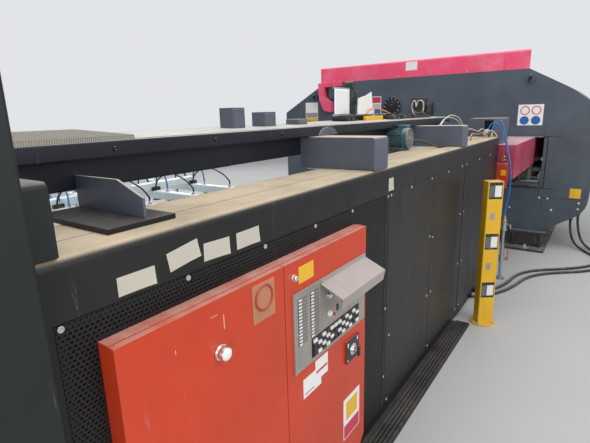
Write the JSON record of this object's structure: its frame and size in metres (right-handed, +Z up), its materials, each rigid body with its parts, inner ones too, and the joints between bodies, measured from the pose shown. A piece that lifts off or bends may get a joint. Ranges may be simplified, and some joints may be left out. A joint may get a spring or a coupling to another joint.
{
  "type": "cnc turret punch press",
  "caption": "Turret punch press with a closed bridge frame, sheet carriage with workholders, two tool turrets, sheet loader beam, suction frame and control cabinet.",
  "frame": {"origin": "on the floor at the middle of the four foot anchors of the bridge frame", "axes": "+X along the sheet carriage with the loader on the -X side, +Y along the bridge frame towards the turret end, +Z up"},
  "size_m": [8.358, 4.549, 2.37],
  "materials": {
    "frame_paint": "satin",
    "foot_paint": "satin",
    "cover_red": "satin",
    "ground_steel": "ground",
    "tool_steel": "ground",
    "turret_steel": "turned",
    "motor_paint": "satin",
    "table_steel": "satin",
    "brush_black": "matt",
    "box_black": "matt",
    "cabinet_orange": "satin",
    "dusty_steel": "dusty",
    "bellows_rubber": "matt",
    "motor_teal": "satin",
    "loader_grey": "satin",
    "suction_blue": "satin",
    "knob_chrome": "polished",
    "panel_grey": "satin",
    "button_red": "gloss",
    "button_green": "gloss",
    "switch_black": "matt",
    "post_yellow": "satin",
    "riser_steel": "rolled",
    "hose_blue": "satin",
    "cable_black": "matt"
  },
  "bodies": {
    "frame": {"bridge_frame": "frame_paint", "frame_feet": "foot_paint", "top_covers": "cover_red", "side_guard": "cover_red", "leg_cover_plates": "frame_paint", "frame_fittings": "frame_paint", "ram_cylinder": "ground_steel", "upper_bearing": "turret_steel", "turret_motors": "motor_paint", "lower_bearing": "turret_steel", "center_table": "table_steel", "brush_strips": "brush_black", "y_rails": "ground_steel", "y_screw": "ground_steel", "scrap_chute": "tool_steel", "end_column": "foot_paint", "loader_base": "box_black", "loader_panels": "box_black", "perforated_panel": "box_black", "loader_top": "dusty_steel", "beam_brackets": "box_black", "loader_beam": "dusty_steel", "beam_bellows": "bellows_rubber", "beam_fittings": "box_black", "drive_motor": "motor_teal", "cabinet_body": "cabinet_orange", "light_post": "post_yellow", "floor_duct": "box_black", "air_riser": "riser_steel", "air_hose": "hose_blue", "power_cable_a": "cable_black", "power_cable_b": "cable_black"},
    "ram": {"striker": "ground_steel"},
    "upper_tool_turret": {"upper_turret": "turret_steel", "punch_tools": "tool_steel"},
    "lower_tool_turret": {"lower_turret": "turret_steel", "die_set": "tool_steel"},
    "carriage": {"carriage_beam": "table_steel", "carriage_saddles": "table_steel", "carriage_cover": "cover_red", "carriage_box": "box_black", "end_control_box": "cabinet_orange", "x_rails": "ground_steel", "side_tables": "table_steel", "y_nut_drive": "motor_paint"},
    "cross_slide": {"x_slide": "ground_steel", "clamp_bodies": "tool_steel"},
    "jaws": {"clamp_jaws": "tool_steel"},
    "loader_trolley": {"loader_carriage": "loader_grey"},
    "suction": {"suction_frame": "suction_blue"},
    "left_door": {"cabinet_door_left": "cabinet_orange"},
    "left_knob": {"door_knob_left": "knob_chrome"},
    "right_door": {"cabinet_door_right": "cabinet_orange", "control_panel": "panel_grey", "panel_hood": "panel_grey"},
    "right_knob": {"door_knob_right": "knob_chrome"},
    "stop_button": {"emergency_button": "button_red"},
    "green_button": {"start_button": "button_green"},
    "key": {"key_switch": "knob_chrome"},
    "switch_handle": {"main_switch": "switch_black"},
    "valve_lever": {"valve_handle": "button_red"}
  },
  "joints": [
    {"name": "carriage_travel", "type": "slide", "parent": "frame", "child": "carriage", "axis": [0, 1, 0], "range_m": [0, 1.27]},
    {"name": "cross_travel", "type": "slide", "parent": "carriage", "child": "cross_slide", "axis": [1, 0, 0], "range_m": [-0.915, 0.915]},
    {"name": "jaw_opening", "type": "hinge", "parent": "cross_slide", "child": "jaws", "pos_m": [0, -0.988, 1.046], "axis": [1, 0, 0], "range_deg": [0, 12]},
    {"name": "ram_stroke", "type": "slide", "parent": "frame", "child": "ram", "axis": [0, 0, -1], "range_m": [0, 0.036]},
    {"name": "upper_turret_turn", "type": "hinge", "parent": "frame", "child": "upper_tool_turret", "pos_m": [0, 0.83, 1.1], "axis": [0, 0, 1], "continuous": true},
    {"name": "lower_turret_turn", "type": "hinge", "parent": "frame", "child": "lower_tool_turret", "pos_m": [0, 0.83, 0.93], "axis": [0, 0, 1], "continuous": true},
    {"name": "loader_travel", "type": "slide", "parent": "frame", "child": "loader_trolley", "axis": [1, 0, 0], "range_m": [-0.6, 2.4]},
    {"name": "suction_lift", "type": "slide", "parent": "loader_trolley", "child": "suction", "axis": [0, 0, -1], "range_m": [0, 0.15]},
    {"name": "left_door_hinge", "type": "hinge", "parent": "frame", "child": "left_door", "pos_m": [-6.16, -1.43, 0.7], "axis": [0, 0, -1], "range_deg": [0, 105]},
    {"name": "left_knob_turn", "type": "hinge", "parent": "left_door", "child": "left_knob", "pos_m": [-5.854, -1.45, 1.08], "axis": [0, 1, 0], "range_deg": [0, 90]},
    {"name": "right_door_hinge", "type": "hinge", "parent": "frame", "child": "right_door", "pos_m": [-4.965, -1.43, 0.7], "axis": [0, 0, 1], "range_deg": [0, 105]},
    {"name": "right_knob_turn", "type": "hinge", "parent": "right_door", "child": "right_knob", "pos_m": [-5.506, -1.45, 1.177], "axis": [0, 1, 0], "range_deg": [0, 90]},
    {"name": "stop_button_press", "type": "slide", "parent": "right_door", "child": "stop_button", "axis": [0, 1, 0], "range_m": [0, 0.0035], "stiffness_N_per_m": 900},
    {"name": "green_button_press", "type": "slide", "parent": "right_door", "child": "green_button", "axis": [0, 1, 0], "range_m": [0, 0.003], "stiffness_N_per_m": 600},
    {"name": "key_turn", "type": "hinge", "parent": "right_door", "child": "key", "pos_m": [-5.294, -1.45, 1.039], "axis": [0, 1, 0], "range_deg": [0, 90]},
    {"name": "main_switch_turn", "type": "hinge", "parent": "right_door", "child": "switch_handle", "pos_m": [-5.102, -1.45, 0.724], "axis": [0, 1, 0], "range_deg": [0, 90]},
    {"name": "valve_turn", "type": "hinge", "parent": "frame", "child": "valve_lever", "pos_m": [-1.945, -1.54, 0.22], "axis": [0, 1, 0], "range_deg": [0, 90]}
  ],
  "couplings": [
    {"joint": "lower_turret_turn", "follows": "upper_turret_turn", "ratio": 1}
  ]
}
